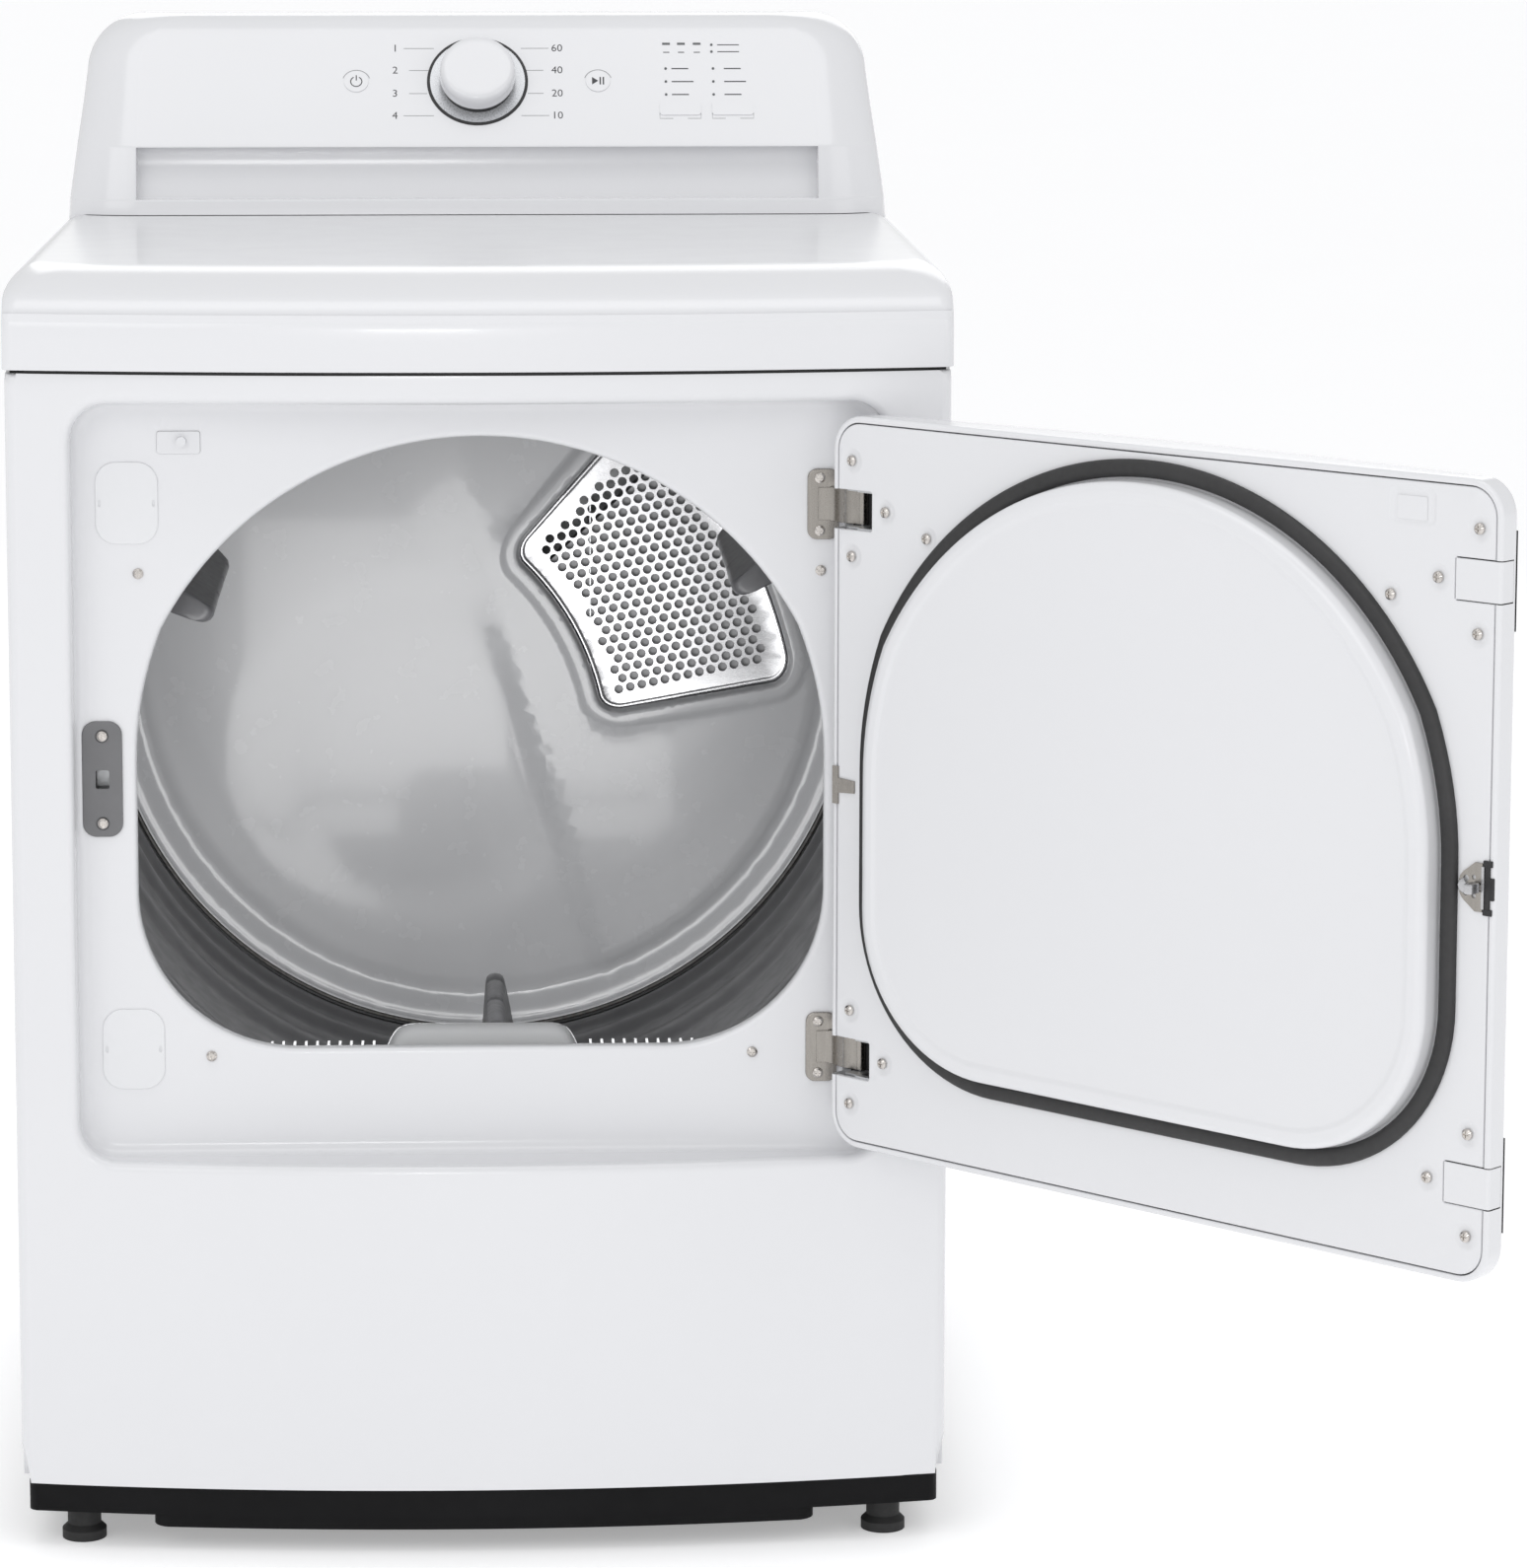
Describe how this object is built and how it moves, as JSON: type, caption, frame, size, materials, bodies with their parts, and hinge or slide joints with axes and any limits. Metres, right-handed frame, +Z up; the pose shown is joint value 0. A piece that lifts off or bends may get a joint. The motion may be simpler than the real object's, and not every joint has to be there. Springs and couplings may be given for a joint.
{
  "type": "clothes dryer",
  "caption": "Free-standing front-loading tumble dryer with a rear control console, an open side-hinged door, a belt-driven drum and a rear exhaust collar.",
  "frame": {"origin": "on the floor, at the centre of the four levelling feet", "axes": "+Z up, the front faces -Y, +X is the hinge side of the door"},
  "size_m": [1.0228, 1.1622, 1.111],
  "materials": {
    "white_steel": "satin gloss",
    "white_plastic": "gloss",
    "inner_white": "satin",
    "black_base": "satin",
    "black_rubber": "matte",
    "galvanised": "brushed",
    "drum_paint": "satin",
    "dark_plastic": "satin",
    "grey_enamel": "gloss",
    "stainless": "brushed",
    "nickel": "brushed",
    "grey_plastic": "satin",
    "black_plastic": "matte",
    "felt": "woolly",
    "motor_cast": "cast",
    "steel_shaft": "ground",
    "screw_steel": "polished",
    "seal_rubber": "matte",
    "circuit_green": "satin",
    "dark_steel": "satin",
    "lens": "gloss",
    "silver_plastic": "satin",
    "mesh_fabric": "fine mesh",
    "ceramic": "matte"
  },
  "bodies": {
    "cabinet": {"base_pan": "black_base", "leveling_feet": "black_rubber", "side_panel_left": "white_steel", "side_panel_right": "white_steel", "rear_panel": "galvanised", "top_cover": "white_steel", "front_panel": "white_steel", "front_bulkhead": "galvanised", "rear_bulkhead": "grey_enamel", "hot_air_grille": "stainless", "heater_duct": "galvanised", "heater_coils": "ceramic", "lint_housing": "grey_plastic", "blower_housing": "black_plastic", "exhaust_duct": "galvanised", "motor": "motor_cast", "drum_front_felt": "felt", "drum_rear_felt": "felt", "roller_axles": "steel_shaft", "drive_belt": "black_rubber", "console_shell": "white_plastic", "console_back": "galvanised", "control_board": "circuit_green", "knob_ring": "silver_plastic", "indicator_lenses": "lens", "hinge_arms": "nickel", "frame_blank_covers": "white_plastic", "catch_plate": "dark_steel", "door_catch": "black_plastic", "cabinet_screws": "screw_steel", "door_switch_housing": "white_plastic", "terminal_block": "black_plastic", "terminal_cover": "galvanised"},
    "door": {"door_outer_panel": "white_steel", "door_inner_panel": "inner_white", "door_seal": "seal_rubber", "door_strike": "nickel", "strike_filler_plug": "nickel", "door_blank_covers": "white_plastic", "door_hinge_brackets": "galvanised", "hinge_pins": "steel_shaft", "door_screws": "screw_steel"},
    "drum": {"drum_shell": "drum_paint", "drum_lifters": "dark_plastic"},
    "motor_rotor": {"motor_shaft": "steel_shaft", "blower_wheel": "black_plastic"},
    "belt_idler_arm": {"idler_arm": "galvanised"},
    "belt_idler_pulley": {"idler_pulley": "black_plastic"},
    "roller_front_left": {"drum_roller_front_left": "black_rubber"},
    "roller_front_right": {"drum_roller_front_right": "black_rubber"},
    "roller_rear_left": {"drum_roller_rear_left": "black_rubber"},
    "roller_rear_right": {"drum_roller_rear_right": "black_rubber"},
    "lint_filter": {"lint_filter_frame": "grey_plastic", "lint_filter_mesh": "mesh_fabric"},
    "program_knob": {"knob": "white_plastic"},
    "power_key": {"button_power": "white_plastic"},
    "start_key": {"button_start": "white_plastic"},
    "temperature_key": {"button_temperature": "white_plastic"},
    "dry_level_key": {"button_dry_level": "white_plastic"},
    "door_switch": {"door_switch_plunger": "white_plastic"}
  },
  "joints": [
    {"name": "door_hinge", "type": "hinge", "parent": "cabinet", "child": "door", "pos_m": [0.2779, -0.3568, 0.576], "axis": [0, 0, 1], "range_deg": [-134.8, 6]},
    {"name": "drum_spin", "type": "hinge", "parent": "cabinet", "child": "drum", "pos_m": [0, 0, 0.576], "axis": [0, 1, 0], "continuous": true},
    {"name": "motor_spin", "type": "hinge", "parent": "cabinet", "child": "motor_rotor", "pos_m": [0.13, 0, 0.15], "axis": [0, 1, 0], "continuous": true},
    {"name": "idler_arm_swing", "type": "hinge", "parent": "cabinet", "child": "belt_idler_arm", "pos_m": [0.108, 0, 0.062], "axis": [0, 1, 0], "range_deg": [-1.4, 3], "stiffness_Nm_per_rad": 40, "deforming": ["drive_belt"]},
    {"name": "idler_pulley_spin", "type": "hinge", "parent": "belt_idler_arm", "child": "belt_idler_pulley", "pos_m": [0.07, 0, 0.1554], "axis": [0, 1, 0], "continuous": true},
    {"name": "roller_front_left_spin", "type": "hinge", "parent": "cabinet", "child": "roller_front_left", "pos_m": [-0.21998, 0, 0.29444], "axis": [0, 1, 0], "continuous": true},
    {"name": "roller_rear_left_spin", "type": "hinge", "parent": "cabinet", "child": "roller_rear_left", "pos_m": [-0.21998, 0, 0.29444], "axis": [0, 1, 0], "continuous": true},
    {"name": "roller_front_right_spin", "type": "hinge", "parent": "cabinet", "child": "roller_front_right", "pos_m": [0.21998, 0, 0.29444], "axis": [0, 1, 0], "continuous": true},
    {"name": "roller_rear_right_spin", "type": "hinge", "parent": "cabinet", "child": "roller_rear_right", "pos_m": [0.21998, 0, 0.29444], "axis": [0, 1, 0], "continuous": true},
    {"name": "lint_filter_lift", "type": "slide", "parent": "cabinet", "child": "lint_filter", "axis": [0, 0, 1], "range_m": [0, 0.2]},
    {"name": "knob_turn", "type": "hinge", "parent": "cabinet", "child": "program_knob", "pos_m": [0, 0.236, 1.057], "axis": [0, -0.8387, 0.5446], "continuous": true},
    {"name": "power_press", "type": "slide", "parent": "cabinet", "child": "power_key", "axis": [0, 0.8387, -0.5446], "range_m": [0, 0.0008], "stiffness_N_per_m": 2500},
    {"name": "start_press", "type": "slide", "parent": "cabinet", "child": "start_key", "axis": [0, 0.8387, -0.5446], "range_m": [0, 0.0008], "stiffness_N_per_m": 2500},
    {"name": "temperature_press", "type": "slide", "parent": "cabinet", "child": "temperature_key", "axis": [0, 0.8387, -0.5446], "range_m": [0, 0.0008], "stiffness_N_per_m": 2500},
    {"name": "dry_level_press", "type": "slide", "parent": "cabinet", "child": "dry_level_key", "axis": [0, 0.8387, -0.5446], "range_m": [0, 0.0008], "stiffness_N_per_m": 2500},
    {"name": "door_switch_press", "type": "slide", "parent": "cabinet", "child": "door_switch", "axis": [0, 1, 0], "range_m": [0, 0.003], "stiffness_N_per_m": 300}
  ],
  "couplings": [
    {"joint": "motor_spin", "follows": "drum_spin", "ratio": 32.566},
    {"joint": "idler_pulley_spin", "follows": "drum_spin", "ratio": -10.605},
    {"joint": "roller_front_left_spin", "follows": "drum_spin", "ratio": -9.2},
    {"joint": "roller_rear_left_spin", "follows": "drum_spin", "ratio": -9.2},
    {"joint": "roller_front_right_spin", "follows": "drum_spin", "ratio": -9.2},
    {"joint": "roller_rear_right_spin", "follows": "drum_spin", "ratio": -9.2}
  ]
}
